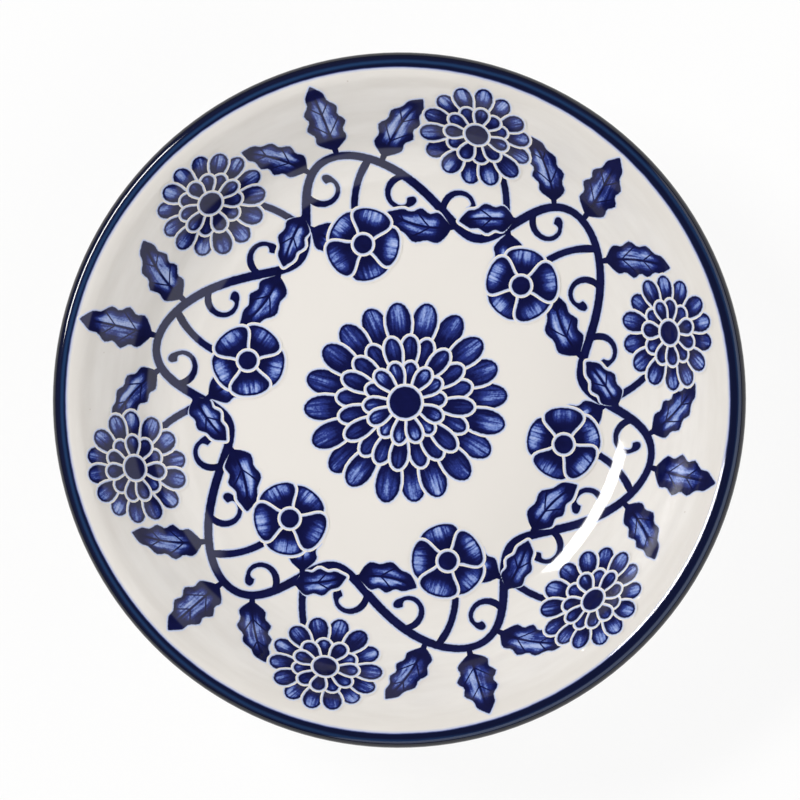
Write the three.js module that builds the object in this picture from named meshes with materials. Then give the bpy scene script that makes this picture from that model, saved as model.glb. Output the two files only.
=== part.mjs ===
// A small round sauce dish in glazed porcelain, in millimetres, with +Z up.
// The clay body carries a turned foot ring. A clear coat lines the inside, a coloured coat is
// banded over the lip, a clear coat covers the outside down to the foot, and one more lies in
// the recess under the base. The foot's tread is wiped bare, so the clay shows there.
// The origin is on the table, under the middle of the dish.

import * as THREE from 'three';

// Driving dimensions, over the fired coats
const rimDiameter = 95; // across the outside of the lip
const height = 21; // table to the top of the lip
const lipThickness = 2.8; // the lip is a full round
const floorDiameter = 45; // flat of the well
const floorThickness = 4; // well to the underside
const insideReach = 13.8; // how far the well's level runs on into the wall's curve
const outsideReach = 16; // the same for the underside's level
const lipReach = 6.7; // how far the lip's lean runs down into the wall's curve
const lipLean = 28.5; // degrees from level, where the wall meets the lip's round
const footInset = 1.5; // foot ring, in from the edge of the well's flat
const footWidth = 3.6; // across the foot ring
const footHeight = 3.4; // table to the underside
const footFillet = 1.2; // foot ring into the underside
const treadRound = 0.5; // edges of the tread
const bareFoot = 1; // height above the table that is wiped clear of glaze
const glazeThickness = 0.3;
const bandInsideTurn = 16; // degrees round the lip, from its top to the band's inner edge
const bandOutsideWidth = 2; // down the outer wall, from the lip's round to the band's lower edge

// How finely the round shapes are drawn
const turnSegments = 60;
const wallSteps = 8;
const lipSteps = 1;
const bandSteps = 8;
const filletSteps = 3;

// Places in the section that follow from the sizes, as distance from the axis and height
const lipRadius = lipThickness / 2;
const lipCentre = new THREE.Vector2(rimDiameter / 2 - lipRadius, height - lipRadius);
const wellHeight = footHeight + floorThickness;
const footOuter = floorDiameter / 2 - footInset;
const footInner = footOuter - footWidth;

// The wall, inside or outside, is one smooth curve: it leaves the floor level, steepens, and
// leans out again to run into the lip's round on its own side.
function wallCurve(floorLevel, floorReach, lipSide) {
  const lean = THREE.MathUtils.degToRad(lipLean);
  const uphill = new THREE.Vector2(Math.cos(lean), Math.sin(lean));
  const acrossLip = new THREE.Vector2(-uphill.y, uphill.x).multiplyScalar(lipSide * lipRadius);
  const floorEnd = new THREE.Vector2(floorDiameter / 2, floorLevel);
  const lipEnd = lipCentre.clone().add(acrossLip);
  return new THREE.CubicBezierCurve(
    floorEnd,
    floorEnd.clone().setX(floorEnd.x + floorReach),
    lipEnd.clone().addScaledVector(uphill, -lipReach),
    lipEnd,
  );
}

const insideWall = wallCurve(wellHeight, insideReach, 1);
const outsideWall = wallCurve(footHeight, outsideReach, -1);
const bandLowerEdge = outsideWall.getUtoTmapping(0, outsideWall.getLength() - bandOutsideWidth);

// Degrees round the lip's section, counted from pointing outwards
const lipInnerEnd = lipLean + 90;
const bandInnerEdge = bandInsideTurn + 90;
const lipOuterEnd = lipLean - 90;

// Points along a wall curve, moved sideways: downhill and outwards where the shift is positive
function alongWall(curve, from, to, steps, shift) {
  return Array.from({ length: steps + 1 }, (_, i) => {
    const place = from + ((to - from) * i) / steps;
    const tangent = curve.getTangent(place);
    const sideways = new THREE.Vector2(tangent.y, -tangent.x);
    return curve.getPoint(place).addScaledVector(sideways, shift);
  });
}

function arc(centre, radius, from, to, steps) {
  return Array.from({ length: steps + 1 }, (_, i) => {
    const angle = THREE.MathUtils.degToRad(from + ((to - from) * i) / steps);
    return new THREE.Vector2(Math.cos(angle), Math.sin(angle)).multiplyScalar(radius).add(centre);
  });
}

// Each stretch of the section, drawn at a depth under the fired surface. Depth 0 is the surface
// of the coat, and the coat's thickness is the clay beneath it, point for point.

function insideStretch(depth) {
  return [
    new THREE.Vector2(0, wellHeight - depth),
    ...alongWall(insideWall, 0, 1, wallSteps, depth),
    ...arc(lipCentre, lipRadius - depth, lipInnerEnd, bandInnerEdge, lipSteps),
  ];
}

function bandStretch(depth) {
  return [
    ...arc(lipCentre, lipRadius - depth, bandInnerEdge, lipOuterEnd, bandSteps),
    ...alongWall(outsideWall, 1, bandLowerEdge, 1, -depth),
  ];
}

function outsideStretch(depth) {
  const filletCentre = new THREE.Vector2(footOuter + footFillet, footHeight - footFillet);
  return [
    ...alongWall(outsideWall, bandLowerEdge, 0, wallSteps, -depth),
    ...arc(filletCentre, footFillet + depth, 90, 180, filletSteps),
    new THREE.Vector2(footOuter - depth, bareFoot),
  ];
}

function treadStretch(depth) {
  const outerEdge = new THREE.Vector2(footOuter - depth - treadRound, treadRound);
  const innerEdge = new THREE.Vector2(footInner + depth + treadRound, treadRound);
  return [
    ...arc(outerEdge, treadRound, 0, -90, filletSteps),
    ...arc(innerEdge, treadRound, -90, -180, filletSteps),
  ];
}

function baseStretch(depth) {
  const filletCentre = new THREE.Vector2(footInner - footFillet, footHeight - footFillet);
  return [
    new THREE.Vector2(footInner + depth, bareFoot),
    ...arc(filletCentre, footFillet + depth, 0, 90, filletSteps),
    new THREE.Vector2(0, footHeight + depth),
  ];
}

// Solids of revolution

function withoutRepeats(points) {
  return points.filter((point, i) => i === 0 || point.distanceTo(points[i - 1]) > 1e-6);
}

function turned(name, outline, colour, roughness) {
  const startsOnAxis = outline[0].x === 0;
  const profile = withoutRepeats(startsOnAxis ? outline : [...outline, outline[0].clone()]);
  const geometry = new THREE.LatheGeometry(profile.reverse(), turnSegments).rotateX(Math.PI / 2);
  const mesh = new THREE.Mesh(geometry, new THREE.MeshStandardMaterial({ color: colour, roughness }));
  mesh.name = name;
  return mesh;
}

// A coat runs along the fired surface and back along the clay.
function coat(name, stretch, colour, roughness) {
  return turned(name, [...stretch(0), ...stretch(glazeThickness).reverse()], colour, roughness);
}

function body(name, colour, roughness) {
  const stretches = [insideStretch, bandStretch, outsideStretch, treadStretch, baseStretch];
  return turned(name, stretches.flatMap((stretch) => stretch(glazeThickness)), colour, roughness);
}

const dish = new THREE.Group();
dish.add(
  body('porcelain_body', 0xd8cec0, 0.75),
  coat('inside_glaze', insideStretch, 0xe9e4df, 0.08),
  coat('rim_band', bandStretch, 0x1b2a4c, 0.1),
  coat('outside_glaze', outsideStretch, 0xe9e4df, 0.08),
  coat('base_glaze', baseStretch, 0xe9e4df, 0.08),
);

export default dish;
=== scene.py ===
# Sauce dish in blue and white porcelain, dressed over its solids. Metres, +Z up.
import bisect
import math
import random

import bmesh
import bpy
from mathutils import Matrix, Vector


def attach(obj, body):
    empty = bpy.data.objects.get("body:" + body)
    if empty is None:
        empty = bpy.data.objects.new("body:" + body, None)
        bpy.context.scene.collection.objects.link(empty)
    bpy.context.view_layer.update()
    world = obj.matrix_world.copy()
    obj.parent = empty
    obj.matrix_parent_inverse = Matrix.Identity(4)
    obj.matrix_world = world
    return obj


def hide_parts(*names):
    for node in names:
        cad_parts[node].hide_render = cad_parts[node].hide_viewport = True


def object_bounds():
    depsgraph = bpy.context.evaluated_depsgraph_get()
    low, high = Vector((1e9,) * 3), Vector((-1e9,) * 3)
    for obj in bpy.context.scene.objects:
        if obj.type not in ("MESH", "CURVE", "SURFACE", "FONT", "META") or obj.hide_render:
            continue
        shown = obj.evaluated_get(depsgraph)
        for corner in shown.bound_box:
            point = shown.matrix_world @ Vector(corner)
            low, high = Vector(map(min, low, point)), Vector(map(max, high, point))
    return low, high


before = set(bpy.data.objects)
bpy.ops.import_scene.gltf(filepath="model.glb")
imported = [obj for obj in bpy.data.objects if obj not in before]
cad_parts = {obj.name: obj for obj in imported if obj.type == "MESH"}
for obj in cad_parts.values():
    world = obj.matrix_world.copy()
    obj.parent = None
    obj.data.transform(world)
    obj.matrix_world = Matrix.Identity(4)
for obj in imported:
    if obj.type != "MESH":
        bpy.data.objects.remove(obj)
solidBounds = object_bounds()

mm = 0.001
tiny = 1e-8  # points closer than this are one
quarter = math.pi / 2
print("frame:", sorted(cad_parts))

# Section of the dish over the fired coats. The rim and the height come from the frame.
dish = {
    "rimRadius": solidBounds[1].x,
    "height": solidBounds[1].z,
    "lipRadius": 1.4 * mm,
    "floorRadius": 22.5 * mm,
    "floorThickness": 4 * mm,
    "insideReach": 13.43 * mm,  # how far the well's level runs on into the wall's curve
    "outsideReach": 16 * mm,  # the same for the underside's level
    "lipReach": 6.7 * mm,  # how far the lip's lean runs down into the outer wall's curve
    "lipLean": math.radians(28.5),  # slope of the outer wall at the lip
    "shoulder": 3 * mm,  # round of the inside as it rolls over to the band
    "shoulderReach": 6.57 * mm,  # like lipReach, for the inner wall
    "shoulderFoot": math.radians(31.84),  # slope of the inner wall at the shoulder
    "footInset": 1.5 * mm,  # in from the edge of the well
    "footWidth": 3.6 * mm,
    "footHeight": 3.4 * mm,
    "footFillet": 1.2 * mm,
    "treadRound": 0.5 * mm,
    "bareFoot": 1 * mm,  # wiped clear of glaze up to here
    "coat": 0.3 * mm,
    "bandInside": math.radians(16),  # round the lip from its top to the band's inner edge
    "bandOutside": 2 * mm,  # down the outer wall
    "sharpFrom": math.radians(50),
}
# How many steps draw each stretch of the section and one turn, and how many measure a curve
fineness = {
    "well": 16, "wall": 56, "shoulder": 16, "lip": 40, "bandWall": 6, "bead": 6,
    "fillet": 12, "tread": 8, "base": 12, "turn": 160, "measure": 400, "measureShoulder": 40,
}

lipRadius = dish["lipRadius"]
lipCentre = Vector((dish["rimRadius"] - lipRadius, dish["height"] - lipRadius))
wellHeight = dish["footHeight"] + dish["floorThickness"]
footOuter = dish["floorRadius"] - dish["footInset"]
footInner = footOuter - dish["footWidth"]


def squareTo(slope):
    return Vector((-math.sin(slope), math.cos(slope)))


def wallCurve(floorLevel, floorReach, lipEnd, lean, lipReach):
    # handles of a wall that leaves the floor level, steepens, and leans out again towards the lip
    uphill = Vector((math.cos(lean), math.sin(lean)))
    floorEnd = Vector((dish["floorRadius"], floorLevel))
    return floorEnd, floorEnd + Vector((floorReach, 0)), lipEnd - uphill * lipReach, lipEnd


def onCurve(handles, t):
    # point and direction, by halving between the handles
    a, b, c, d = handles
    ab, bc, cd = a.lerp(b, t), b.lerp(c, t), c.lerp(d, t)
    abc, bcd = ab.lerp(bc, t), bc.lerp(cd, t)
    return abc.lerp(bcd, t), (bcd - abc).normalized()


def alongWall(handles, start, end, steps, shift):
    # points of a wall's curve, moved downhill and outwards where the shift is positive
    points = []
    for i in range(steps + 1):
        point, direction = onCurve(handles, start + (end - start) * i / steps)
        points.append(point + shift * Vector((direction.y, -direction.x)))
    return points


def measured(handles):
    # distance from the start, point and slope, in small steps along a wall's curve
    found, distance, last = [], 0.0, handles[0]
    for i in range(fineness["measure"] + 1):
        point, direction = onCurve(handles, i / fineness["measure"])
        distance += (point - last).length
        last = point
        found.append((distance, point, math.atan2(direction.y, direction.x)))
    return found


shoulderCentre = lipCentre - (dish["shoulder"] - lipRadius) * squareTo(dish["bandInside"])
shoulderStart = shoulderCentre + dish["shoulder"] * squareTo(dish["shoulderFoot"])
lipOuterEnd = lipCentre - lipRadius * squareTo(dish["lipLean"])
insideWall = wallCurve(wellHeight, dish["insideReach"], shoulderStart,
                       dish["shoulderFoot"], dish["shoulderReach"])
outsideWall = wallCurve(dish["footHeight"], dish["outsideReach"], lipOuterEnd,
                        dish["lipLean"], dish["lipReach"])
outsideSteps = measured(outsideWall)
bandFrom = outsideSteps[-1][0] - dish["bandOutside"]
bandLowerEdge = sum(distance < bandFrom for distance, point, slope in outsideSteps) / len(outsideSteps)


def bow(centre, radius, start, end, steps):
    turn = (end - start) / steps
    return [centre + radius * Vector((math.cos(start + turn * i), math.sin(start + turn * i)))
            for i in range(steps + 1)]


def straight(start, end, steps):
    return [start.lerp(end, i / steps) for i in range(steps + 1)]


# Each stretch of the section at a depth under the fired surface
def insideStretch(depth):
    middle, edge = Vector((0, wellHeight - depth)), Vector((dish["floorRadius"], wellHeight - depth))
    return (straight(middle, edge, fineness["well"])
            + alongWall(insideWall, 0, 1, fineness["wall"], depth)[1:]
            + bow(shoulderCentre, dish["shoulder"] - depth, dish["shoulderFoot"] + quarter,
                  dish["bandInside"] + quarter, fineness["shoulder"])[1:])


def bandStretch(depth):
    return (bow(lipCentre, lipRadius - depth, dish["bandInside"] + quarter,
                dish["lipLean"] - quarter, fineness["lip"])
            + alongWall(outsideWall, 1, bandLowerEdge, fineness["bandWall"], -depth)[1:])


def glazeEnd(side, lean, depth):
    # the coat rounds off where the foot was wiped; lean is 1 on the outer side, -1 on the inner
    bead, steps = dish["coat"] - depth, fineness["bead"]
    centre = Vector((side - lean * dish["coat"], dish["bareFoot"] + bead))
    points = bow(centre, bead, 0, -quarter, steps) if bead > 0 else [centre] * (steps + 1)
    return [Vector((centre.x + lean * (p.x - centre.x), p.y)) for p in points]


def outsideStretch(depth):
    fillet = dish["footFillet"]
    filletCentre = Vector((footOuter + fillet, dish["footHeight"] - fillet))
    return (alongWall(outsideWall, bandLowerEdge, 0, fineness["wall"], -depth)
            + bow(filletCentre, fillet + depth, quarter, math.pi, fineness["fillet"])
            + glazeEnd(footOuter, 1, depth))


def treadStretch(depth):
    soft, steps = dish["treadRound"], fineness["tread"]
    outerEdge = Vector((footOuter - depth - soft, soft))
    innerEdge = Vector((footInner + depth + soft, soft))
    return bow(outerEdge, soft, 0, -quarter, steps) + bow(innerEdge, soft, -quarter, -math.pi, steps)


def baseStretch(depth):
    fillet = dish["footFillet"]
    filletCentre = Vector((footInner - fillet, dish["footHeight"] - fillet))
    flatEdge = Vector((footInner - fillet, dish["footHeight"] + depth))
    return (glazeEnd(footInner, -1, depth)[::-1]
            + bow(filletCentre, fillet + depth, 0, quarter, fineness["fillet"])
            + straight(flatEdge, Vector((0, flatEdge.y)), fineness["base"])[1:])


def newPiece(name, bm, material):
    mesh = bpy.data.meshes.new(name)
    bm.to_mesh(mesh)
    bm.free()
    mesh.shade_smooth()
    piece = bpy.data.objects.new(name, mesh)
    bpy.context.scene.collection.objects.link(piece)
    mesh.materials.append(material)
    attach(piece, "root")
    return piece


def turned(name, outline, material, node):
    # the outline spun once round the axis, then closed at the poles
    bm = bmesh.new()
    points = [p for i, p in enumerate(outline) if i == 0 or (p - outline[i - 1]).length > tiny]
    ring = [bm.verts.new((p.x, 0, p.y)) for p in points]
    edges = [bm.edges.new(pair) for pair in zip(ring, ring[1:])]
    if points[0].x > tiny and (points[0] - points[-1]).length > tiny:
        edges.append(bm.edges.new((ring[-1], ring[0])))
    bmesh.ops.spin(bm, geom=ring + edges, cent=(0, 0, 0), axis=(0, 0, 1), dvec=(0, 0, 0),
                   angle=2 * math.pi, steps=fineness["turn"], use_merge=True, use_duplicate=False)
    bmesh.ops.remove_doubles(bm, verts=bm.verts, dist=10 * tiny)
    bmesh.ops.dissolve_degenerate(bm, edges=bm.edges, dist=tiny)
    bmesh.ops.recalc_face_normals(bm, faces=bm.faces)
    piece = newPiece(name, bm, material)
    piece.data.set_sharp_from_angle(angle=dish["sharpFrom"])
    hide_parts(node)


# Materials
def hexColour(text):
    channels = [int(text[i:i + 2], 16) / 255 for i in (1, 3, 5)]
    return [c / 12.92 if c <= 0.04045 else ((c + 0.055) / 1.055) ** 2.4 for c in channels] + [1]


def addNode(tree, kind, inputs=None, **settings):
    node = tree.nodes.new("ShaderNode" + kind)
    for key, value in settings.items():
        setattr(node, key, value)
    for key, value in (inputs or {}).items():
        if isinstance(value, bpy.types.NodeSocket):
            tree.links.new(value, node.inputs[key])
        else:
            node.inputs[key].default_value = value
    return node


def newMaterial(name):
    material = bpy.data.materials.new(name)
    material.use_nodes = True
    material.node_tree.nodes.clear()
    return material, material.node_tree


glazeLook = {
    "white": "#F3EFE9",
    "whiteDullAndShade": "#EBE6DF",  # random clouds and turning marks, and painted shade in the well and towards the lip
    "cloudSize": 14 * mm,
    "cloudShare": 0.45,
    "darkerEdge": (0.56, 0.76),  # in rim radii, where the well's painted shade begins to fade and where it ends
    "lipShadeEdge": (0.86, 0.945),  # the same, where the painted shade begins again towards the lip and where it meets the band
    "lipShadeShare": 0.8,
    "markLength": 7 * mm,  # faint turning marks round the wall
    "markWidth": 0.9 * mm,
    "markShare": 1.6,
    "waveSize": 9 * mm,  # slow unevenness of a dipped coat
    "waveHeight": 0.012 * mm,
    "peelSize": 1.1 * mm,  # fine orange peel
    "peelHeight": 0.0006 * mm,
    "roughness": 0.06,
    "ior": 1.46,
    "fleck": "#B9AA98",
    "fleckSpacing": 1.7 * mm,
    "fleckShare": 0.03,  # of the places that could hold one
    "fleckFade": (0.04, 0.1),  # in spacings, from a fleck's middle
    "fleckStrength": 0.5,
}


def radiusOf(tree, place):
    parts = addNode(tree, "SeparateXYZ", {"Vector": place})
    flat = addNode(tree, "CombineXYZ", {"X": parts.outputs["X"], "Y": parts.outputs["Y"], "Z": 0.0})
    return addNode(tree, "VectorMath", {0: flat.outputs[0]}, operation="LENGTH").outputs["Value"]


def glazeBump(tree, place):
    # orange peel on top of slow waves
    under = {}
    for key, detail in (("wave", 1.0), ("peel", 0.0)):
        noise = addNode(tree, "TexNoise", {
            "Vector": place, "Scale": 1 / glazeLook[key + "Size"], "Detail": detail})
        bump = addNode(tree, "Bump", {
            "Height": noise.outputs["Fac"], "Strength": 1.0, "Distance": glazeLook[key + "Height"], **under})
        under = {"Normal": bump.outputs["Normal"]}
    return under["Normal"]


def turningMarks(tree, place, radius):
    # the wheel's faint marks in the coat: long round the axis, narrow across, and fading out in the well
    flat = addNode(tree, "VectorMath", {0: place, 1: (1, 1, 0)}, operation="MULTIPLY")
    bearing = addNode(tree, "VectorMath", {0: flat.outputs[0]}, operation="NORMALIZE")
    level = addNode(tree, "CombineXYZ", {"Z": radius})
    across = addNode(tree, "VectorMath", {
        0: level.outputs[0], 1: (0, 0, 1 / glazeLook["markWidth"])}, operation="MULTIPLY")
    turns = dish["rimRadius"] / glazeLook["markLength"]
    spread = addNode(tree, "VectorMath", {
        0: bearing.outputs[0], 1: (turns, turns, 0), 2: across.outputs[0]}, operation="MULTIPLY_ADD")
    marks = addNode(tree, "TexNoise", {"Vector": spread.outputs[0], "Scale": 1.0, "Detail": 2.0})
    even = addNode(tree, "Math", {0: marks.outputs["Fac"], 1: 0.5}, operation="SUBTRACT")
    start, end = (share * dish["rimRadius"] for share in glazeLook["darkerEdge"])
    share = addNode(tree, "MapRange", {
        "Value": radius, "From Min": start, "From Max": end, "To Max": glazeLook["markShare"]})
    return addNode(tree, "Math", {
        0: even.outputs[0], 1: share.outputs[0]}, operation="MULTIPLY").outputs[0]


def glazeGround(tree, place):
    # warm white clay seen through the clear coat, with painted shade in the well and near the lip that leaves
    # the wall lighter, and rare iron flecks
    radius = radiusOf(tree, place)
    clouds = addNode(tree, "TexNoise", {
        "Vector": place, "Scale": 1 / glazeLook["cloudSize"], "Detail": 2.0})
    shadings = []
    for key, inside, outside in (("darkerEdge", 1 - glazeLook["cloudShare"], 0.0),
                                 ("lipShadeEdge", 0.0, glazeLook["lipShadeShare"])):
        start, end = (share * dish["rimRadius"] for share in glazeLook[key])
        shadings.append(addNode(tree, "MapRange", {
            "Value": radius, "From Min": start, "From Max": end, "To Min": inside, "To Max": outside},
            interpolation_type="SMOOTHSTEP").outputs[0])
    # painted shade, darker in the well and towards the lip
    depth = addNode(tree, "Math", {0: shadings[0], 1: shadings[1]}, operation="ADD")
    cloudsAndShade = addNode(tree, "Math", {
        0: clouds.outputs["Fac"], 1: glazeLook["cloudShare"], 2: depth.outputs[0]}, operation="MULTIPLY_ADD")
    marked = addNode(tree, "Math", {
        0: turningMarks(tree, place, radius), 1: cloudsAndShade.outputs[0]}, operation="ADD")
    ground = addNode(tree, "Mix", {
        "Factor": marked.outputs[0], "A": hexColour(glazeLook["white"]),
        "B": hexColour(glazeLook["whiteDullAndShade"])}, data_type="RGBA")
    cells = addNode(tree, "TexVoronoi", {"Vector": place, "Scale": 1 / glazeLook["fleckSpacing"]})
    chosen = addNode(tree, "SeparateColor", {"Color": cells.outputs["Color"]})
    rare = addNode(tree, "Math", {
        0: chosen.outputs["Red"], 1: 1 - glazeLook["fleckShare"]}, operation="GREATER_THAN")
    start, end = glazeLook["fleckFade"]
    dot = addNode(tree, "MapRange", {
        "Value": cells.outputs["Distance"], "From Min": start, "From Max": end,
        "To Min": glazeLook["fleckStrength"], "To Max": 0.0})
    fleck = addNode(tree, "Math", {0: rare.outputs[0], 1: dot.outputs[0]}, operation="MULTIPLY")
    flecked = addNode(tree, "Mix", {
        "Factor": fleck.outputs[0], "A": ground.outputs["Result"], "B": hexColour(glazeLook["fleck"])},
        data_type="RGBA")
    return flecked.outputs["Result"]


def glossyCoat(tree, colour, place):
    shine = addNode(tree, "BsdfPrincipled", {
        "Base Color": colour, "Normal": glazeBump(tree, place),
        "Roughness": glazeLook["roughness"], "IOR": glazeLook["ior"]})
    addNode(tree, "OutputMaterial", {"Surface": shine.outputs[0]})


bandLook = {
    "navy": "#091031",
    # near black on the outer side of the lip
    "outerDark": "#090B19",
    "darkerEdge": (0.35, 0.85),  # in lip radii, outwards from the lip's top, where the darker outer side begins and where it is full
    "sheen": "#1F3B64",  # painted sheen: bluer near the top of the lip, where the light catches it
    "sheenAt": 0.17,  # in lip radii, outwards from the lip's top
    "sheenWidth": 0.29,
    "sheenLean": 0.27,  # how much further out the painted sheen lies on the side away from the softbox
    "sheenFade": 0.55,  # and how much of it is left there
    # the side away from the softbox
    "leanTowards": Vector((0.79, -0.62)),
    "streakSize": 6 * mm,
    "drift": 0.16,
    "edge": math.radians(27.5),  # mean inner edge of the paint, round the lip from its top
    "offCentre": 0.12 * mm,
    "offTowards": Vector((0.77, 0.64)),
    "ragged": 0.14 * mm,
    "raggedSize": 2.6 * mm,
    "bleed": "#B8C0E0",
    "bleedReach": (-0.45 * mm, 0.0),  # out from that edge, where it begins and where it is full
    "run": "#4A5690",  # where the blue thins out
    "runReach": (-0.12 * mm, 0.04 * mm),
    "fullReach": (-0.02 * mm, 0.14 * mm),
}


def bandPaint(tree, place, colour):
    # the lip's blue over the white ground: its brushed edge is a little off centre and bleeds inwards
    edge = lipCentre.x - lipRadius * math.sin(bandLook["edge"])
    towards = bandLook["offTowards"].normalized() * (bandLook["offCentre"] / dish["rimRadius"])
    ragged = addNode(tree, "TexNoise", {
        "Vector": place, "Scale": 1 / bandLook["raggedSize"], "Detail": 2.0})
    jitter = addNode(tree, "Math", {0: ragged.outputs["Fac"], 1: 0.5}, operation="SUBTRACT")
    shift = addNode(tree, "Math", {
        0: jitter.outputs[0], 1: bandLook["ragged"], 2: radiusOf(tree, place)}, operation="MULTIPLY_ADD")
    off = addNode(tree, "VectorMath", {0: place, 1: (towards.x, towards.y, 0)}, operation="DOT_PRODUCT")
    reach = addNode(tree, "Math", {0: shift.outputs[0], 1: off.outputs["Value"]}, operation="ADD")
    painted = glazeGround(tree, place)
    for key, tone in (("bleed", hexColour(bandLook["bleed"])), ("run", hexColour(bandLook["run"])),
                      ("full", colour)):
        start, end = bandLook[key + "Reach"]
        share = addNode(tree, "MapRange", {
            "Value": reach.outputs[0], "From Min": edge + start, "From Max": edge + end},
            interpolation_type="SMOOTHSTEP")
        painted = addNode(tree, "Mix", {
            "Factor": share.outputs[0], "A": painted, "B": tone}, data_type="RGBA").outputs["Result"]
    return painted


def clearGlazeInside():
    # clear gloss glaze dipped over white porcelain; the lip's blue runs a little into it
    material, tree = newMaterial("clear_glaze_on_white_porcelain_inside")
    place = addNode(tree, "TexCoord").outputs["Object"]
    glossyCoat(tree, bandPaint(tree, place, hexColour(bandLook["navy"])), place)
    return material


def clearGlaze():
    # the same dip outside and under the base, plain
    material, tree = newMaterial("clear_glaze_on_white_porcelain")
    place = addNode(tree, "TexCoord").outputs["Object"]
    glossyCoat(tree, glazeGround(tree, place), place)
    return material


def cobaltBandGlaze():
    # cobalt glaze banded on with a brush: near black on the outer side of the lip, with a painted bluer sheen
    # near its top, strongest on the softbox's side
    material, tree = newMaterial("cobalt_glaze_banded_on_lip")
    place = addNode(tree, "TexCoord").outputs["Object"]
    across = addNode(tree, "MapRange", {
        "Value": radiusOf(tree, place), "From Min": lipCentre.x - lipRadius,
        "From Max": lipCentre.x + lipRadius, "To Min": -1.0, "To Max": 1.0})
    streak = addNode(tree, "TexNoise", {
        "Vector": place, "Scale": 1 / bandLook["streakSize"], "Detail": 3.0})
    drift = addNode(tree, "Math", {
        0: streak.outputs["Fac"], 1: bandLook["drift"], 2: across.outputs[0]}, operation="MULTIPLY_ADD")
    towards = bandLook["leanTowards"].normalized() / dish["rimRadius"]
    lean = addNode(tree, "VectorMath", {0: place, 1: (towards.x, towards.y, 0)}, operation="DOT_PRODUCT")
    # the painted sheen lies further out, and fades, on the side away from the softbox
    line = addNode(tree, "Math", {
        0: lean.outputs["Value"], 1: bandLook["sheenLean"], 2: bandLook["sheenAt"] + bandLook["drift"] / 2},
        operation="MULTIPLY_ADD")
    off = addNode(tree, "Math", {0: drift.outputs[0], 1: line.outputs[0]}, operation="SUBTRACT")
    away = addNode(tree, "Math", {0: off.outputs[0]}, operation="ABSOLUTE")
    strength = addNode(tree, "MapRange", {
        "Value": lean.outputs["Value"], "From Min": -1.0, "From Max": 1.0,
        "To Min": 1.0, "To Max": bandLook["sheenFade"]})
    sheen = addNode(tree, "MapRange", {
        "Value": away.outputs[0], "From Min": 0.0, "From Max": bandLook["sheenWidth"],
        "To Min": strength.outputs[0], "To Max": 0.0}, interpolation_type="SMOOTHSTEP")
    start, end = bandLook["darkerEdge"]
    outerDarkening = addNode(tree, "MapRange", {
        "Value": across.outputs[0], "From Min": start, "From Max": end}, interpolation_type="SMOOTHSTEP")
    colour = hexColour(bandLook["navy"])
    for share, tone in ((outerDarkening, "outerDark"), (sheen, "sheen")):
        colour = addNode(tree, "Mix", {
            "Factor": share.outputs[0], "A": colour, "B": hexColour(bandLook[tone])},
            data_type="RGBA").outputs["Result"]
    glossyCoat(tree, bandPaint(tree, place, colour), place)
    return material


clayLook = {
    "clay": "#DACFC2",
    "toast": "#C7B199",
    "toastSize": 7 * mm,
    "toastRange": (0.35, 0.75),
    "grit": "#A99882",
    "gritSize": 0.5 * mm,  # coarser than real grit, so that it shows
    "gritRange": (0.62, 0.74),
    "gritHeight": 0.03 * mm,
    "roughness": 0.78,
    "ior": 1.5,
}


def bareClay():
    # fired clay wiped clean of glaze: matt, faintly gritty, toasted in the kiln
    material, tree = newMaterial("bare_fired_porcelain")
    place = addNode(tree, "TexCoord").outputs["Object"]
    colour = hexColour(clayLook["clay"])
    for key, detail in (("toast", 4.0), ("grit", 3.0)):
        noise = addNode(tree, "TexNoise", {
            "Vector": place, "Scale": 1 / clayLook[key + "Size"], "Detail": detail})
        low, high = clayLook[key + "Range"]
        share = addNode(tree, "MapRange", {
            "Value": noise.outputs["Fac"], "From Min": low, "From Max": high})
        colour = addNode(tree, "Mix", {
            "Factor": share.outputs[0], "A": colour, "B": hexColour(clayLook[key])},
            data_type="RGBA").outputs["Result"]
    bump = addNode(tree, "Bump", {  # of the grit, the last noise
        "Height": noise.outputs["Fac"], "Strength": 1.0, "Distance": clayLook["gritHeight"]})
    matt = addNode(tree, "BsdfPrincipled", {
        "Base Color": colour, "Roughness": clayLook["roughness"], "IOR": clayLook["ior"],
        "Normal": bump.outputs["Normal"]})
    addNode(tree, "OutputMaterial", {"Surface": matt.outputs[0]})
    return material


inkLook = {
    # from the darkest stroke to the palest wash
    "tones": [(0.0, "#060835"), (0.16, "#0E134A"), (0.4, "#2C3B8A"), (0.58, "#7289CC"), (1.0, "#B3C2EA")],
    "lineWash": 0.05,  # how pale a plain line is
    "bleed": "#BFCCF2",
    "bleedWidth": 0.42 * mm,
    "ragged": 0.14 * mm,
    "raggedSize": 0.45 * mm,
    "solidReach": (-0.06 * mm, 0.07 * mm),  # in from the edge, where the ink begins and where it is full
    "washReach": (0.15 * mm, 0.48 * mm),  # the same for the wash, as the pigment gathers at the edge
    "streakRange": (0.3, 0.68),
    "streakShare": (0.3, 1.2),
    "streakShift": 60,  # far enough that no two strokes streak alike
    "grainSize": 0.3 * mm,  # coarser than real pigment, so that it shows
    "grainRange": (0.3, 0.7),
    "grainShare": (0.84, 1.16),
    "mottleSize": 2.4 * mm,
    "mottleShare": 0.3,
    "mottleShift": -0.09,
    "ribSlant": 1.25,
    "ribReach": (0.08 * mm, 0.24 * mm),  # from a rib's middle, where it begins to fade and where it ends
}
strokeValues = ("inkEdge", "wash", "chance")  # mm inside the edge, paleness, and a number for each stroke


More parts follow.
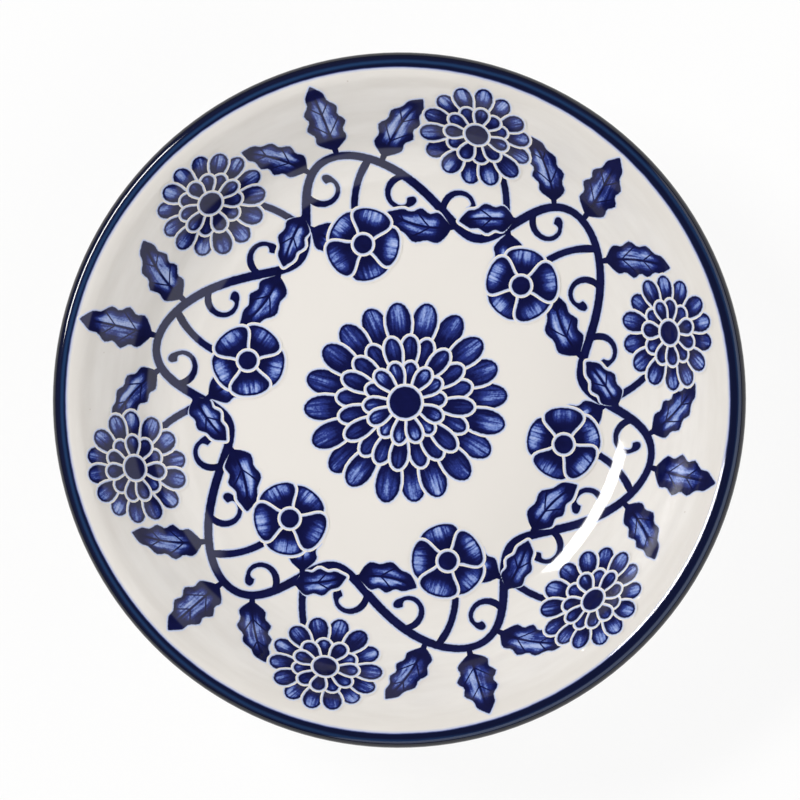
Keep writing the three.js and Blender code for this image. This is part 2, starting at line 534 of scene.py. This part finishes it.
def cobaltPrint(name, streakLength, streakWidth, ribSpacing=None):
    # underglaze cobalt: dark strokes with paler washes, soft at the edge where it bled into the glaze
    material, tree = newMaterial(name)
    place = addNode(tree, "TexCoord").outputs["Object"]
    stroke = addNode(tree, "UVMap", uv_map="Stroke").outputs["UV"]  # mm along and across a stroke
    edge, wash, drawn = (addNode(tree, "Attribute", attribute_name=key).outputs["Fac"]
                         for key in strokeValues)
    ragged = addNode(tree, "TexNoise", {
        "Vector": place, "Scale": 1 / inkLook["raggedSize"], "Detail": 2.0})
    jitter = addNode(tree, "Math", {0: ragged.outputs["Fac"], 1: 0.5}, operation="SUBTRACT")
    inked = addNode(tree, "Math", {
        0: jitter.outputs[0], 1: inkLook["ragged"] / mm, 2: edge}, operation="MULTIPLY_ADD").outputs[0]
    haloReach = (inkLook["ragged"] / 2 - inkLook["bleedWidth"], 0.0)
    solid, halo, inside = (addNode(tree, "MapRange", {
        "Value": inked, "From Min": start / mm, "From Max": end / mm},
        interpolation_type="SMOOTHSTEP").outputs[0]
        for start, end in (inkLook["solidReach"], haloReach, inkLook["washReach"]))
    # brush streaks along the stroke, shifted from one stroke to the next, and grain
    spread = addNode(tree, "Mapping", {
        "Vector": stroke, "Scale": (mm / streakLength, mm / streakWidth, 1)})
    shift = addNode(tree, "CombineXYZ", {"Z": drawn})
    moved = addNode(tree, "VectorMath", {
        0: shift.outputs[0], 1: (0, 0, inkLook["streakShift"]), 2: spread.outputs[0]},
        operation="MULTIPLY_ADD")
    streaks = addNode(tree, "TexNoise", {"Vector": moved.outputs[0], "Scale": 1.0, "Detail": 3.0})
    grain = addNode(tree, "TexNoise", {"Vector": place, "Scale": 1 / inkLook["grainSize"], "Detail": 1.0})
    light = wash
    for key, noise in (("streak", streaks), ("grain", grain)):
        (low, high), (least, most) = inkLook[key + "Range"], inkLook[key + "Share"]
        share = addNode(tree, "MapRange", {
            "Value": noise.outputs["Fac"], "From Min": low, "From Max": high,
            "To Min": least, "To Max": most})
        light = addNode(tree, "Math", {
            0: light, 1: share.outputs[0]}, operation="MULTIPLY").outputs[0]
    if ribSpacing:  # a dark midrib with finer ribs leaving it at an angle
        sides = addNode(tree, "SeparateXYZ", {"Vector": stroke})
        aside = addNode(tree, "Math", {0: sides.outputs["Y"]}, operation="ABSOLUTE").outputs[0]
        slant = addNode(tree, "Math", {
            0: aside, 1: -inkLook["ribSlant"], 2: sides.outputs["X"]}, operation="MULTIPLY_ADD")
        phase = addNode(tree, "Math", {0: slant.outputs[0], 1: ribSpacing / mm}, operation="PINGPONG")
        near = addNode(tree, "Math", {0: phase.outputs[0], 1: aside}, operation="MINIMUM")
        start, end = inkLook["ribReach"]
        between = addNode(tree, "MapRange", {
            "Value": near.outputs[0], "From Min": start / mm, "From Max": end / mm})
        light = addNode(tree, "Math", {
            0: light, 1: between.outputs[0]}, operation="MULTIPLY").outputs[0]
    mottle = addNode(tree, "TexNoise", {
        "Vector": place, "Scale": 1 / inkLook["mottleSize"], "Detail": 3.0})
    uneven = addNode(tree, "Math", {
        0: mottle.outputs["Fac"], 1: inkLook["mottleShare"], 2: inkLook["mottleShift"]},
        operation="MULTIPLY_ADD")
    washed = addNode(tree, "Math", {
        0: light, 1: inside, 2: uneven.outputs[0]}, operation="MULTIPLY_ADD", use_clamp=True)
    ramp = addNode(tree, "ValToRGB", {"Fac": washed.outputs[0]})
    stops = ramp.color_ramp.elements
    (_, darkest), *others, (_, palest) = inkLook["tones"]
    stops[0].color, stops[1].color = hexColour(darkest), hexColour(palest)
    for position, tone in others:
        stops.new(position).color = hexColour(tone)
    pale = addNode(tree, "Mix", {
        "Factor": halo, "A": glazeGround(tree, place), "B": hexColour(inkLook["bleed"])}, data_type="RGBA")
    colour = addNode(tree, "Mix", {
        "Factor": solid, "A": pale.outputs["Result"], "B": ramp.outputs["Color"]}, data_type="RGBA")
    glossyCoat(tree, colour.outputs["Result"], place)
    return material


# The fired pieces, each in place of its plain solid
insideGlaze, outerGlaze = clearGlazeInside(), clearGlaze()
lined = {name: stretch(0) + stretch(dish["coat"])[::-1]
         for name, stretch in (("inside", insideStretch), ("band", bandStretch), ("outside", outsideStretch))}
baseOutline = baseStretch(dish["coat"])[::-1] + baseStretch(0)
clayOutline = [p for stretch in (insideStretch, bandStretch, outsideStretch, treadStretch, baseStretch)
               for p in stretch(dish["coat"])]
turned("dish_inside", lined["inside"], insideGlaze, "inside_glaze")
turned("lip_band", lined["band"], cobaltBandGlaze(), "rim_band")
turned("dish_outside", lined["outside"], outerGlaze, "outside_glaze")
turned("base_recess", baseOutline, outerGlaze, "base_glaze")
turned("clay_body", clayOutline, bareClay(), "porcelain_body")
print("fired pieces turned")


# The print is drawn flat, as distances along the inside from the middle, and then laid in the dish
insidePlaces = [(0.0, 0.0, wellHeight, 0.0)]  # distance from the middle, radius, height, slope
for distance, point, slope in measured(insideWall):
    insidePlaces.append((dish["floorRadius"] + distance, point.x, point.y, slope))
wallEnd = insidePlaces[-1][0]
for i in range(1, fineness["measureShoulder"] + 1):
    turn = (dish["shoulderFoot"] - dish["bandInside"]) * i / fineness["measureShoulder"]
    slope = dish["shoulderFoot"] - turn
    point = shoulderCentre + dish["shoulder"] * squareTo(slope)
    insidePlaces.append((wallEnd + dish["shoulder"] * turn, point.x, point.y, slope))
insideDistances = [place[0] for place in insidePlaces]
insideRadii = [place[1] for place in insidePlaces]


def placeBetween(steps, value):
    # distance, radius, height and slope of the inside where the steps reach a value
    i = min(max(bisect.bisect_right(steps, value), 1), len(steps) - 1)
    share = (value - steps[i - 1]) / (steps[i] - steps[i - 1])
    return [a + (b - a) * share for a, b in zip(insidePlaces[i - 1], insidePlaces[i])]


def layInDish(point, lift):
    _, radius, height, slope = placeBetween(insideDistances, point.length)
    out = point.normalized() if point.length > tiny else Vector((1, 0))
    radius -= lift * math.sin(slope)
    return Vector((out.x * radius, out.y * radius, height + lift * math.cos(slope)))


def around(distance, degrees):
    turn = math.radians(degrees)
    return Vector((math.cos(turn), math.sin(turn))) * distance


almostStraight = 1e-5  # radians


def arcSpine(start, heading, length, bend):
    # a path that starts at a point, heads off in degrees and turns steadily by bend degrees
    def spine(u):
        first, turn = math.radians(heading), math.radians(bend) * u
        if abs(turn) < almostStraight:
            return start + Vector((math.cos(first), math.sin(first))) * length * u
        radius = length * u / turn
        return start + radius * Vector((math.sin(first + turn) - math.sin(first),
                                        math.cos(first) - math.cos(first + turn)))
    return spine


def smooth(value, low, high):
    t = min(max((value - low) / (high - low), 0), 1)
    return t * t * (3 - 2 * t)


film = {
    "lift": 0.014 * mm,
    "layer": 0.009 * mm,  # from one level to the next
    "drift": 0.3,  # in layers, so that no two strokes share a level
    "thickness": 0.16 * mm,
    "rooting": 4 * mm,  # along a rooted stroke, until its bleed is full
    "rootInk": 0.12 * mm,  # how much further its ink spreads at the root
    "slopeStep": 0.004,  # shares of a stroke, either way, that measure its sides' slope and its heading
    "headingStep": 0.001,
}
# Levels of the film: a blossom takes some for each tier, and its neighbouring petals lie on different ones
levels = {"vine": 0, "medallion": 0, "stem": 1, "leaf": 2, "flower": 4, "tier": 4, "petals": 3}
chance = random.Random(23)  # the same draws in every run


def brush(bm, spine, length, halfWidth, wash, layer, along, across, ends="free"):
    # One stroke: a grid bent along its spine, with a border of bleed outside its ink.
    # A rooted stroke grows out of another, so it starts without bleed, and a closed one is a ring.
    grid = bmesh.ops.create_grid(bm, x_segments=along, y_segments=across, size=0.5)["verts"]
    inkEdge, tone, draw = (bm.verts.layers.float[key] for key in strokeValues)
    drawn, flat = chance.random(), {}
    lift = film["lift"] + (layer + film["drift"] * drawn) * film["layer"]
    firstRow = 1 if ends == "free" else 0
    lastRow = along if ends == "closed" else along - 1
    inner = 1 - 2 / across  # sides up to here hold the ink
    for vert in grid:
        row, column = round((vert.co.x + 0.5) * along), round((vert.co.y + 0.5) * across)
        side = vert.co.y * 2
        u = min(max((row - firstRow) / (lastRow - firstRow), 0), 1)
        if ends != "closed":
            u = 0.5 - 0.5 * math.cos(math.pi * u)  # closer at the tips
        ink = halfWidth(u)
        before, after = max(u - film["slopeStep"], 0), min(u + film["slopeStep"], 1)
        lean = math.atan((halfWidth(after) - halfWidth(before)) / ((after - before) * length))
        grown = smooth(u * length, 0, film["rooting"]) if ends == "rooted" else 1
        bleed = inkLook["bleedWidth"] * grown
        ahead, aside = u * length, min(max(side / inner, -1), 1) * ink
        inked = min((ink - abs(aside)) * math.cos(lean), length - ahead if ends != "closed" else ink)
        if row < firstRow or row > lastRow:  # rounded off past the end
            turn = side * (quarter + (lean if row else -lean))
            ahead += bleed * math.cos(turn) * (1 if row else -1)
            aside += bleed * math.sin(turn)
            inked = -bleed
        elif column in (0, across):
            ahead -= bleed * math.sin(lean)
            aside += math.copysign(bleed * math.cos(lean), side)
            inked = -bleed
        direction = (spine(u + film["headingStep"]) - spine(u - film["headingStep"])).normalized()
        point = spine(u) + direction * (ahead - u * length) + Vector((-direction.y, direction.x)) * aside
        vert.co = layInDish(point, lift)
        vert[inkEdge] = (inked + film["rootInk"] * (1 - grown)) / mm
        vert[tone] = wash(u, min(max(side / inner, -1), 1))
        vert[draw] = drawn
        flat[vert] = (ahead / mm, aside / mm)
    uvLayer = bm.loops.layers.uv["Stroke"]
    for face in {f for vert in grid for f in vert.link_faces}:
        for loop in face.loops:
            loop[uvLayer].uv = flat[loop.vert]


def startPrint():
    bm = bmesh.new()
    for key in strokeValues:
        bm.verts.layers.float.new(key)
    bm.loops.layers.uv.new("Stroke")
    return bm


def endPrint(name, bm, material):
    # thickened to a thin film, shaded as the surface that it lies on
    bmesh.ops.remove_doubles(bm, verts=bm.verts, dist=tiny)
    bmesh.ops.dissolve_degenerate(bm, edges=bm.edges, dist=tiny)
    bmesh.ops.solidify(bm, geom=bm.faces[:], thickness=film["thickness"])
    bm.normal_update()
    normals = []
    for vert in bm.verts:
        radius = math.hypot(vert.co.x, vert.co.y)
        slope = placeBetween(insideRadii, radius)[3]
        sine = math.sin(slope) / max(radius, tiny)
        up = Vector((-vert.co.x * sine, -vert.co.y * sine, math.cos(slope)))
        normals.append(up if up.dot(vert.normal) > 0 else -up)
    piece = newPiece(name, bm, material)
    piece.data.normals_split_custom_set_from_vertices(normals)


# Shapes of the strokes, as half widths along them, and how pale each is washed along and across
def lineWash(u, v):
    return inkLook["lineWash"]


def stemWidth(widest):
    return lambda u: widest


def discWidth(radius):
    return lambda u: radius * math.sqrt(max(1 - (2 * u - 1) ** 2, 0))


petal = {
    "root": 0.34,  # width at the root, as a share of the widest
    "swellTo": 0.66,  # shares of the length, from the root
    "tipFrom": 0.68,
    "washAlong": (0.34, 0.8),
    "washAcross": (0.2, 1),
    "girth": 0.86,  # share of the length to the tips at which a ring's petals stand side by side
    "turnDrift": 0.06,
    "lengthDrift": (0.95, 1.03),
    "washDrift": (0.6, 1.1),
    "bend": 6,
    "coreGrid": (14, 8),
}


def petalWidth(widest):
    def width(u):
        swell = petal["root"] + (1 - petal["root"]) * smooth(u, 0, petal["swellTo"])
        tip = max(u - petal["tipFrom"], 0) / (1 - petal["tipFrom"])
        return widest * swell * math.sqrt(max(1 - tip**2, 0))
    return width


def petalWash(strength):
    return lambda u, v: (strength * smooth(u, *petal["washAlong"])
                         * (1 - smooth(abs(v), *petal["washAcross"])))


def disc(bm, centre, radius, layer):
    spine = arcSpine(centre - Vector((radius, 0)), 0, 2 * radius, 0)
    brush(bm, spine, 2 * radius, discWidth(radius), lineWash, layer, *petal["coreGrid"])


def blossom(bm, centre, turn, tiers, core, layer):
    # rings of round-ended petals, the outer ring first, and a middle
    for ring, tier in enumerate(tiers):
        step = 360 / tier["count"]
        widest = math.pi * tier["outer"] * petal["girth"] / tier["count"] - tier["gap"]
        for i in range(tier["count"]):
            drift = chance.uniform(-petal["turnDrift"], petal["turnDrift"])
            heading = turn + step * (i + 0.5 * (ring % 2)) + drift * step
            length = (tier["outer"] - tier["inner"]) * chance.uniform(*petal["lengthDrift"])
            start = centre + around(tier["inner"], heading)
            spine = arcSpine(start, heading, length, chance.uniform(-petal["bend"], petal["bend"]))
            wash = petalWash(tier["wash"] * chance.uniform(*petal["washDrift"]))
            level = layer + levels["tier"] * ring + i % levels["petals"]
            brush(bm, spine, length, petalWidth(widest), wash, level, *tier["grid"])
    disc(bm, centre, core, layer + levels["tier"] * len(tiers))


leafShape = {
    "stalk": 0.36 * mm,  # half width
    "bladeFrom": 0.1,  # shares of the length, from the stalk's root
    "stalkTo": 0.4,
    "belly": 0.75,  # the lower, the nearer the widest place is to the stalk
    "fullness": 0.66,  # the lower, the fuller the outline
    "lobeDepth": 0.12,
    "washFrom": (0.2, 0.36),
    "washTo": (0.66, 0.88),
    "washAcross": (0.42, 0.78),
    "darkSide": 0.6,
    "washDrift": (0.75, 1.15),
    "growth": (0.94, 1.06),
    "headingDrift": 5,
    "grid": (36, 8),
}


def leafWidth(widest, lobes):
    def width(u):
        blade = max((u - leafShape["bladeFrom"]) / (1 - leafShape["bladeFrom"]), 0)
        bellied = blade**leafShape["belly"]
        outline = math.sin(math.pi * bellied) ** leafShape["fullness"] if 0 < blade < 1 else 0
        lobed = 1 - leafShape["lobeDepth"] * (1 + math.cos(2 * math.pi * lobes * blade))
        stalk = leafShape["stalk"] * (1 - smooth(u, leafShape["bladeFrom"], leafShape["stalkTo"]))
        return max(widest * outline * lobed, stalk)
    return width


def leafWash(strength, litSide):
    # a pale lens on both sides of the midrib, paler on one
    def wash(u, v):
        lit = 1 if v * litSide > 0 else leafShape["darkSide"]
        along = smooth(u, *leafShape["washFrom"]) * (1 - smooth(u, *leafShape["washTo"]))
        return strength * lit * along * (1 - smooth(abs(v), *leafShape["washAcross"]))
    return wash


def leaf(bm, start, heading, length, widest, bend, lobes):
    wash = leafWash(chance.uniform(*leafShape["washDrift"]), chance.choice((-1, 1)))
    brush(bm, arcSpine(start, heading, length, bend), length, leafWidth(widest, lobes), wash,
          levels["leaf"], *leafShape["grid"], "rooted")


curl = {
    "halfWidth": 0.45 * mm,
    "taper": 0.45,
    "bulb": 0.72 * mm,  # round tip
    "neck": 3.4,  # in bulbs from the tip, where the line begins to swell
    "shrink": 0.45,  # what is left of its radius at the tip
    "grid": (40, 4),
}


def curlWidth(length):
    bulb = curl["bulb"]

    def width(u):
        left = (1 - u) * length
        line = curl["halfWidth"] * (1 - curl["taper"] * u)
        swollen = line + (bulb - line) * (1 - smooth(left, bulb, curl["neck"] * bulb))
        return swollen * math.sqrt(max(1 - max(1 - left / bulb, 0) ** 2, 0))
    return width


def tendril(bm, start, heading, radius, turn):
    # a curl that tightens evenly as it turns, to the left when turn is positive
    side, total = math.copysign(1, turn), abs(math.radians(turn))
    rate = -math.log(curl["shrink"]) / total
    first = math.radians(heading) - side * (quarter + math.atan(rate))
    centre = start - radius * Vector((math.cos(first), math.sin(first)))
    length = radius * math.sqrt(1 + rate * rate) / rate * (1 - curl["shrink"])

    def spine(u):
        angle = first + side * total * u
        return centre + radius * curl["shrink"]**u * Vector((math.cos(angle), math.sin(angle)))

    brush(bm, spine, length, curlWidth(length), lineWash, levels["stem"], *curl["grid"], "rooted")


vine = {
    "count": 6,  # waves round the dish
    "radius": 30.4 * mm,
    "wave": 5.7 * mm,
    "lean": 4,  # degrees
    "turn": 12,
    "headingStep": 0.2,
    "halfWidth": 0.62 * mm,
    "stretch": 1.2,  # its length, over that of a plain circle
    "grid": (360, 4),
    "stemHalfWidth": 0.5 * mm,
    "stemGrid": (24, 4),
}
sector = 360 / vine["count"]


def vineAt(degrees):
    swing = math.cos(math.radians(vine["count"] * (degrees - vine["turn"])))
    return around(vine["radius"] - vine["wave"] * swing, degrees - vine["lean"] * swing)


def vineHeading(degrees):
    step = vineAt(degrees + vine["headingStep"]) - vineAt(degrees - vine["headingStep"])
    return math.degrees(math.atan2(step.y, step.x))


def stem(bm, start, end, bend):
    # a stalk that leaves one point and bows to another
    chord, half = end - start, math.radians(bend) / 2
    heading = math.degrees(math.atan2(chord.y, chord.x) - half)
    length = chord.length * half / math.sin(half)
    brush(bm, arcSpine(start, heading, length, bend), length, stemWidth(vine["stemHalfWidth"]), lineWash,
          levels["stem"], *vine["stemGrid"], "rooted")


medallion = {
    "turn": 4,
    "tiers": [
        {"count": 20, "inner": 6 * mm, "outer": 14.1 * mm, "gap": 0.16 * mm, "wash": 0.72, "grid": (14, 6)},
        {"count": 20, "inner": 3.6 * mm, "outer": 9.4 * mm, "gap": 0.14 * mm, "wash": 0.42, "grid": (14, 6)},
        {"count": 14, "inner": 1.8 * mm, "outer": 5.7 * mm, "gap": 0.14 * mm, "wash": 0.7, "grid": (12, 6)},
    ],
    "core": 2.2 * mm,
}
rimBlossom = {
    "distance": 40 * mm,
    "turn": 2,
    "stemFrom": -10,
    "stemBend": 50,
    "tiers": [
        {"count": 14, "inner": 3.2 * mm, "outer": 8.3 * mm, "gap": 0.18 * mm, "wash": 0.85, "grid": (12, 6)},
        {"count": 11, "inner": 1.5 * mm, "outer": 4.8 * mm, "gap": 0.16 * mm, "wash": 0.5, "grid": (12, 6)},
    ],
    "core": 1.7 * mm,
}
wellBlossom = {
    "distance": 22.8 * mm,
    "turn": 33,
    "stemFrom": 23,
    "stemBend": 60,
    "tiers": [
        {"count": 5, "inner": 0.9 * mm, "outer": 5.1 * mm, "gap": 0.08 * mm, "wash": 0.85, "grid": (20, 10)},
    ],
    "core": 1.3 * mm,
}
# leaves in each sector: where on the vine, off its heading, length and half width in mm, bend, lobes
vineLeaves = [
    (21, -78, 12.4, 2.7, -26, 4),
    (29, -84, 13.0, 3.0, 6, 4),
    (37, -98, 12.0, 2.7, 26, 4),
    (-11, 66, 10.1, 2.4, -30, 3),
    (5, 58, 9.7, 2.4, -44, 3),
    (46, -36, 8.3, 2.1, 20, 3),
]
# curls in each sector: where on the vine, off its heading, radius in mm, turn
vineCurls = [
    (9, -40, 2.8, -240),
    (17, 40, 2.8, 270),
    (42, 34, 2.8, 270),
]

blossoms, leaves, lines = startPrint(), startPrint(), startPrint()
vineLength = 2 * math.pi * vine["radius"] * vine["stretch"]
brush(lines, lambda u: vineAt(360 * u), vineLength, stemWidth(vine["halfWidth"]), lineWash,
      levels["vine"], *vine["grid"], "closed")
blossom(blossoms, Vector((0, 0)), medallion["turn"], medallion["tiers"], medallion["core"],
        levels["medallion"])
for i in range(vine["count"]):
    start = vine["turn"] + sector * i
    for flower in (rimBlossom, wellBlossom):
        bearing = start + flower["turn"]
        centre = around(flower["distance"], bearing)
        blossom(blossoms, centre, bearing + 180, flower["tiers"], flower["core"], levels["flower"])
        stem(lines, vineAt(start + flower["stemFrom"]), centre, flower["stemBend"])
    for at, off, length, widest, bend, lobes in vineLeaves:
        grown = chance.uniform(*leafShape["growth"])
        drift = chance.uniform(-leafShape["headingDrift"], leafShape["headingDrift"])
        leaf(leaves, vineAt(start + at), vineHeading(start + at) + off + drift,
             length * grown * mm, widest * grown * mm, bend, lobes)
    for at, off, radius, turn in vineCurls:
        tendril(lines, vineAt(start + at), vineHeading(start + at) + off, radius * mm, turn)
petalInk = cobaltPrint("cobalt_underglaze_petals", streakLength=5 * mm, streakWidth=0.45 * mm)
leafInk = cobaltPrint("cobalt_underglaze_leaves", streakLength=4 * mm, streakWidth=0.6 * mm,
                      ribSpacing=1.9 * mm)
lineInk = cobaltPrint("cobalt_underglaze_lines", streakLength=6 * mm, streakWidth=0.4 * mm)
endPrint("print_blossoms", blossoms, petalInk)
endPrint("print_leaves", leaves, leafInk)
endPrint("print_vine", lines, lineInk)
print("print laid")


# Studio: a pale floor, a softbox from the upper left and a weak fill from the right
studio = {
    "floorSize": 3.0,
    "floorColour": "#F2F1EF",
    "floorShadow": 0.1,  # share of the floor's look that takes shade, the rest is plain white to the camera
    "keyTowards": Vector((-0.874, 0.486)),
    "keyZenith": math.radians(46.5),
    "keyDistance": 1.6,
    "keySize": (0.676, 0.267),
    "keyPower": 20.2,
    "fillTowards": Vector((0.95, -0.31)),
    "fillZenith": math.radians(62),
    "fillDistance": 0.9,
    "fillSize": (0.5, 0.3),
    "fillPower": 0.7,
}


def layFloor():
    bm = bmesh.new()
    bmesh.ops.create_grid(bm, x_segments=1, y_segments=1, size=studio["floorSize"] / 2)
    mesh = bpy.data.meshes.new("floor")
    bm.to_mesh(mesh)
    bm.free()
    floor = bpy.data.objects.new("floor", mesh)
    bpy.context.scene.collection.objects.link(floor)
    # matt white paper, plain white to the camera and in the gloss but for a faint shadow
    material, tree = newMaterial("matt_white_paper_floor")
    path = addNode(tree, "LightPath")
    paper = addNode(tree, "BsdfDiffuse", {"Color": hexColour(studio["floorColour"])})
    white = addNode(tree, "Emission", {"Color": (1, 1, 1, 1), "Strength": 1.0})
    seen = addNode(tree, "MixShader", {
        "Fac": studio["floorShadow"], 1: white.outputs[0], 2: paper.outputs[0]})
    direct = addNode(tree, "Math", {
        0: path.outputs["Is Camera Ray"], 1: path.outputs["Is Glossy Ray"]}, operation="MAXIMUM")
    shown = addNode(tree, "Math", {
        0: direct.outputs[0], 1: path.outputs["Is Transmission Ray"]}, operation="MAXIMUM")
    look = addNode(tree, "MixShader", {
        "Fac": shown.outputs[0], 1: paper.outputs[0], 2: seen.outputs[0]})
    addNode(tree, "OutputMaterial", {"Surface": look.outputs[0]})
    mesh.materials.append(material)


def aimed(thing, place, target, up):
    back = (place - target).normalized()
    right = up.cross(back).normalized()
    rise = back.cross(right)
    thing.matrix_world = Matrix((
        (right.x, rise.x, back.x, place.x), (right.y, rise.y, back.y, place.y),
        (right.z, rise.z, back.z, place.z), (0, 0, 0, 1)))


def hangSoftbox(name):
    lamp = bpy.data.lights.new(name, "AREA")
    lamp.shape, lamp.size, lamp.size_y = "RECTANGLE", *studio[name + "Size"]
    lamp.energy = studio[name + "Power"]
    softbox = bpy.data.objects.new(name, lamp)
    bpy.context.scene.collection.objects.link(softbox)
    middle = Vector((0, 0, wellHeight))
    towards, zenith = studio[name + "Towards"].normalized(), studio[name + "Zenith"]
    sine, cosine = math.sin(zenith), math.cos(zenith)
    place = middle + studio[name + "Distance"] * Vector((towards.x * sine, towards.y * sine, cosine))
    aimed(softbox, place, middle, Vector((0, 0, 1)))
    return softbox


# Each patch of light has soft edges, given as where it is dark and where it is lit: by height, from 0 level
# to 1 overhead, by height against the card's rising top, and by how far it faces the card
surroundings = {
    "overhead": 0.1,
    "cardTowards": Vector((0.87, -0.5)),
    "cardRise": 0.45,  # of the card's top, towards its middle
    "patches": [
        # a pale card, low light past a dark gap below it, and a faint room on the softbox's side
        {"light": 1.4, "edges": {"height": (0.345, 0.375), "top": (0.62, 0.58), "facing": (0.17, 0.23)}},
        {"light": 0.98, "edges": {"height": (0.185, 0.155), "facing": (-0.15, -0.05)}},
        {"light": 0.06, "edges": {"height": (0.88, 0.82), "facing": (0.05, -0.05)}},
    ],
}


def surround():
    # dim overhead, so that the well mirrors nothing, with a pale card on the side away from the softbox
    world = bpy.data.worlds.new("studio")
    bpy.context.scene.world = world
    world.use_nodes = True
    tree = world.node_tree
    tree.nodes.clear()
    place = addNode(tree, "TexCoord").outputs["Generated"]
    height = addNode(tree, "SeparateXYZ", {"Vector": place}).outputs["Z"]
    towards = surroundings["cardTowards"].normalized()
    facing = addNode(tree, "VectorMath", {
        0: place, 1: (towards.x, towards.y, 0)}, operation="DOT_PRODUCT").outputs["Value"]
    top = addNode(tree, "Math", {
        0: facing, 1: -surroundings["cardRise"], 2: height}, operation="MULTIPLY_ADD").outputs[0]
    measures = {"height": height, "top": top, "facing": facing}
    level = surroundings["overhead"]
    for patch in surroundings["patches"]:
        light = patch["light"]
        for key, (dark, lit) in patch["edges"].items():
            edge = addNode(tree, "MapRange", {
                "Value": measures[key], "From Min": dark, "From Max": lit}, interpolation_type="SMOOTHSTEP")
            light = addNode(tree, "Math", {
                0: light, 1: edge.outputs[0]}, operation="MULTIPLY").outputs[0]
        level = addNode(tree, "Math", {0: level, 1: light}, operation="ADD").outputs[0]
    glow = addNode(tree, "Background", {"Color": (1, 1, 1, 1), "Strength": level})
    addNode(tree, "OutputWorld", {"Surface": glow.outputs[0]})


shot = {
    "photoWidth": 800,
    "rimWidth": 696.1,  # of the rim in the photograph, in its pixels
    "middle": Vector((0.357 * mm, -0.095 * mm)),  # what the picture's middle looks at
    "tilt": math.radians(5.5),
    "leanTowards": Vector((0.934, -0.358)),
    "distance": 0.7,
    "nearest": 0.01,
    "sensorWidth": 36,
}


def placeCamera():
    lens = bpy.data.cameras.new("camera")
    camera = bpy.data.objects.new("camera", lens)
    bpy.context.scene.collection.objects.link(camera)
    target = Vector((*shot["middle"], lipCentre.y))
    lean = shot["leanTowards"].normalized() * math.sin(shot["tilt"])
    place = target + shot["distance"] * Vector((lean.x, lean.y, math.cos(shot["tilt"])))
    aimed(camera, place, target, Vector((0, 1, 0)))
    frameWidth = 2 * dish["rimRadius"] * shot["photoWidth"] / shot["rimWidth"]
    lens.sensor_width = shot["sensorWidth"]
    lens.lens = shot["sensorWidth"] * shot["distance"] / frameWidth
    lens.clip_start = shot["nearest"]
    bpy.context.scene.camera = camera


layFloor()
hangSoftbox("key")
hangSoftbox("fill").visible_glossy = False  # too weak and wide to show in the gloss
surround()
placeCamera()
bpy.context.scene.view_settings.view_transform = "Standard"
print("studio set")
